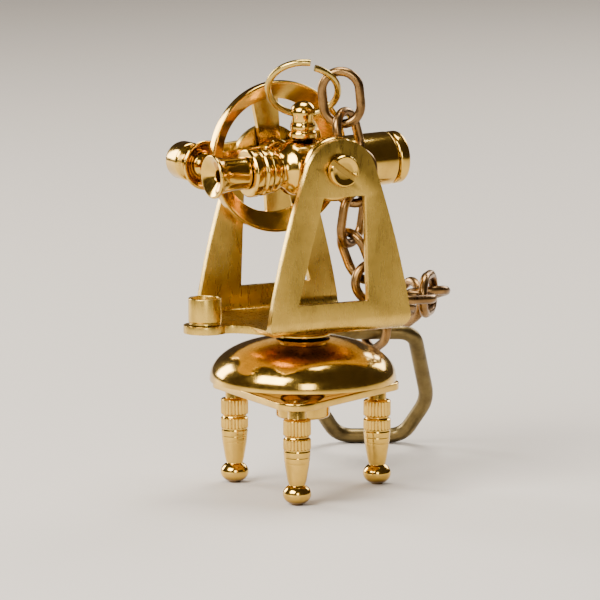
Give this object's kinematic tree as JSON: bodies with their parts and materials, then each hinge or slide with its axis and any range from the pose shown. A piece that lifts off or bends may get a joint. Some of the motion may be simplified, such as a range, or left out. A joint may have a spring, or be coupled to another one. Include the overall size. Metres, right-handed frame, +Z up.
{
  "type": "miniature theodolite key ring",
  "caption": "Miniature brass theodolite on a key ring: telescope and vertical circle in a U frame that turns on a domed, footed base, with a chain from the finial.",
  "frame": {"origin": "where the azimuth axis meets the surface that the feet stand on", "axes": "+Z up along the azimuth axis; X along the telescope's tilt axis, +X to the plain arm without the clamp; +Y the way the objective points"},
  "size_m": [0.0503, 0.0577, 0.0681],
  "materials": {
    "polished_brass": "polished",
    "satin_brass": "satin",
    "chain_brass": "darkened, worn",
    "ring_brass": "dull",
    "aged_brass": "antiqued"
  },
  "bodies": {
    "base": {"base_plate": "polished_brass", "dome_cover": "polished_brass", "dome_post": "polished_brass", "hub_nut": "polished_brass", "azimuth_spindle": "polished_brass"},
    "foot_1": {"foot_screw_1": "polished_brass"},
    "foot_2": {"foot_screw_2": "polished_brass"},
    "foot_3": {"foot_screw_3": "polished_brass"},
    "alidade": {"u_frame": "satin_brass", "neck_washer": "polished_brass", "level_cup": "satin_brass", "trunnion_boss": "polished_brass", "near_trunnion_screw": "polished_brass", "far_trunnion_screw": "polished_brass", "clamp_strap": "satin_brass"},
    "clamp": {"cup_washer": "polished_brass", "clamp_screw": "polished_brass", "clamp_knob": "polished_brass"},
    "telescope": {"telescope_body": "polished_brass", "trunnion_axle": "polished_brass", "objective_barrel": "polished_brass", "objective_ring": "polished_brass", "draw_tube": "polished_brass", "focus_collar": "polished_brass", "finial": "polished_brass", "vertical_circle": "polished_brass"},
    "eyepiece": {"eyepiece": "polished_brass"},
    "jump_ring": {"jump_ring": "ring_brass"},
    "link_01": {"chain_link_01": "chain_brass"},
    "link_02": {"chain_link_02": "chain_brass"},
    "link_03": {"chain_link_03": "chain_brass"},
    "link_04": {"chain_link_04": "chain_brass"},
    "link_05": {"chain_link_05": "chain_brass"},
    "link_06": {"chain_link_06": "chain_brass"},
    "link_07": {"chain_link_07": "chain_brass"},
    "link_08": {"chain_link_08": "chain_brass"},
    "link_09": {"chain_link_09": "chain_brass"},
    "link_10": {"chain_link_10": "chain_brass"},
    "link_11": {"chain_link_11": "chain_brass"},
    "link_12": {"chain_link_12": "chain_brass"},
    "key_ring": {"key_ring": "aged_brass"}
  },
  "joints": [
    {"name": "azimuth_turn", "type": "hinge", "parent": "base", "child": "alidade", "pos_m": [0, 0, 0.0252], "axis": [0, 0, 1], "continuous": true},
    {"name": "telescope_tilt", "type": "hinge", "parent": "alidade", "child": "telescope", "pos_m": [0, 0, 0.0515], "axis": [1, 0, 0], "range_deg": [-5, 4]},
    {"name": "clamp_turn", "type": "hinge", "parent": "alidade", "child": "clamp", "pos_m": [0, -0.01105, 0.0504], "axis": [1, 0, 0], "range_deg": [-180, 180]},
    {"name": "eyepiece_slide", "type": "slide", "parent": "telescope", "child": "eyepiece", "axis": [0, -0.9994, -0.0349], "range_m": [0, 0.0015]},
    {"name": "foot_turn_1", "type": "hinge", "parent": "base", "child": "foot_1", "pos_m": [0.01082, -0.00703, 0.0156], "axis": [0, 0, 1], "range_deg": [-180, 180]},
    {"name": "foot_turn_2", "type": "hinge", "parent": "base", "child": "foot_2", "pos_m": [0.00068, 0.01288, 0.0156], "axis": [0, 0, 1], "range_deg": [-180, 180]},
    {"name": "foot_turn_3", "type": "hinge", "parent": "base", "child": "foot_3", "pos_m": [-0.01149, -0.00586, 0.0156], "axis": [0, 0, 1], "range_deg": [-180, 180]},
    {"name": "ring_plumb", "type": "hinge", "parent": "telescope", "child": "jump_ring", "pos_m": [0, 0, 0.0589], "axis": [1, 0, 0], "range_deg": [-5, 5]},
    {"name": "link_01_swing", "type": "hinge", "parent": "jump_ring", "child": "link_01", "pos_m": [0.00635, 0.0029, 0.0651], "axis": [0.5385, -0.2985, 0.788], "range_deg": [-0.8, 0]},
    {"name": "link_02_swing", "type": "hinge", "parent": "link_01", "child": "link_02", "pos_m": [0.00647, 0.00356, 0.05878], "axis": [0.56, 0.823, 0.0954], "range_deg": [0, 0.5]},
    {"name": "link_03_swing", "type": "hinge", "parent": "link_02", "child": "link_03", "pos_m": [0.00647, 0.00541, 0.05269], "axis": [-0.5168, 0.8187, 0.2503], "range_deg": [-1.5, 2]},
    {"name": "link_04_swing", "type": "hinge", "parent": "link_03", "child": "link_04", "pos_m": [0.00647, 0.00564, 0.04634], "axis": [0.5002, 0.8654, 0.0308], "range_deg": [-1.5, 3]},
    {"name": "link_05_swing", "type": "hinge", "parent": "link_04", "child": "link_05", "pos_m": [0.00588, 0.00498, 0.04004], "axis": [-0.4744, 0.879, -0.0472], "range_deg": [-2, 3]},
    {"name": "link_06_swing", "type": "hinge", "parent": "link_05", "child": "link_06", "pos_m": [0.00605, 0.00736, 0.03414], "axis": [0.9912, 0.1104, 0.0724], "range_deg": [-2, 1]},
    {"name": "link_07_swing", "type": "hinge", "parent": "link_06", "child": "link_07", "pos_m": [0.00675, 0.01232, 0.03023], "axis": [0.0857, 0.6097, 0.788], "range_deg": [-1.5, 1.5]},
    {"name": "link_08_swing", "type": "hinge", "parent": "link_07", "child": "link_08", "pos_m": [0.00543, 0.01852, 0.02978], "axis": [0.9782, 0.2073, -0.0085], "range_deg": [-2, 2]},
    {"name": "link_09_swing", "type": "hinge", "parent": "link_08", "child": "link_09", "pos_m": [0.0007, 0.02278, 0.02978], "axis": [0, 0, 1], "range_deg": [-2, 2]},
    {"name": "link_10_swing", "type": "hinge", "parent": "link_09", "child": "link_10", "pos_m": [-0.00541, 0.02364, 0.02824], "axis": [0.1392, 0.9903, 0], "range_deg": [-6, 6]},
    {"name": "link_11_swing", "type": "hinge", "parent": "link_10", "child": "link_11", "pos_m": [-0.01107, 0.02384, 0.02536], "axis": [-0.4537, 0.0158, 0.891], "range_deg": [-8, 8]},
    {"name": "link_12_swing", "type": "hinge", "parent": "link_11", "child": "link_12", "pos_m": [-0.01674, 0.02403, 0.02247], "axis": [0.0349, 0.9994, 0], "range_deg": [-8, 8]},
    {"name": "key_ring_swing", "type": "hinge", "parent": "link_12", "child": "key_ring", "pos_m": [-0.02117, 0.02419, 0.02021], "axis": [0.4848, 0.8746, 0], "range_deg": [-8, 8]}
  ],
  "couplings": [
    {"joint": "ring_plumb", "follows": "telescope_tilt", "ratio": -1}
  ]
}
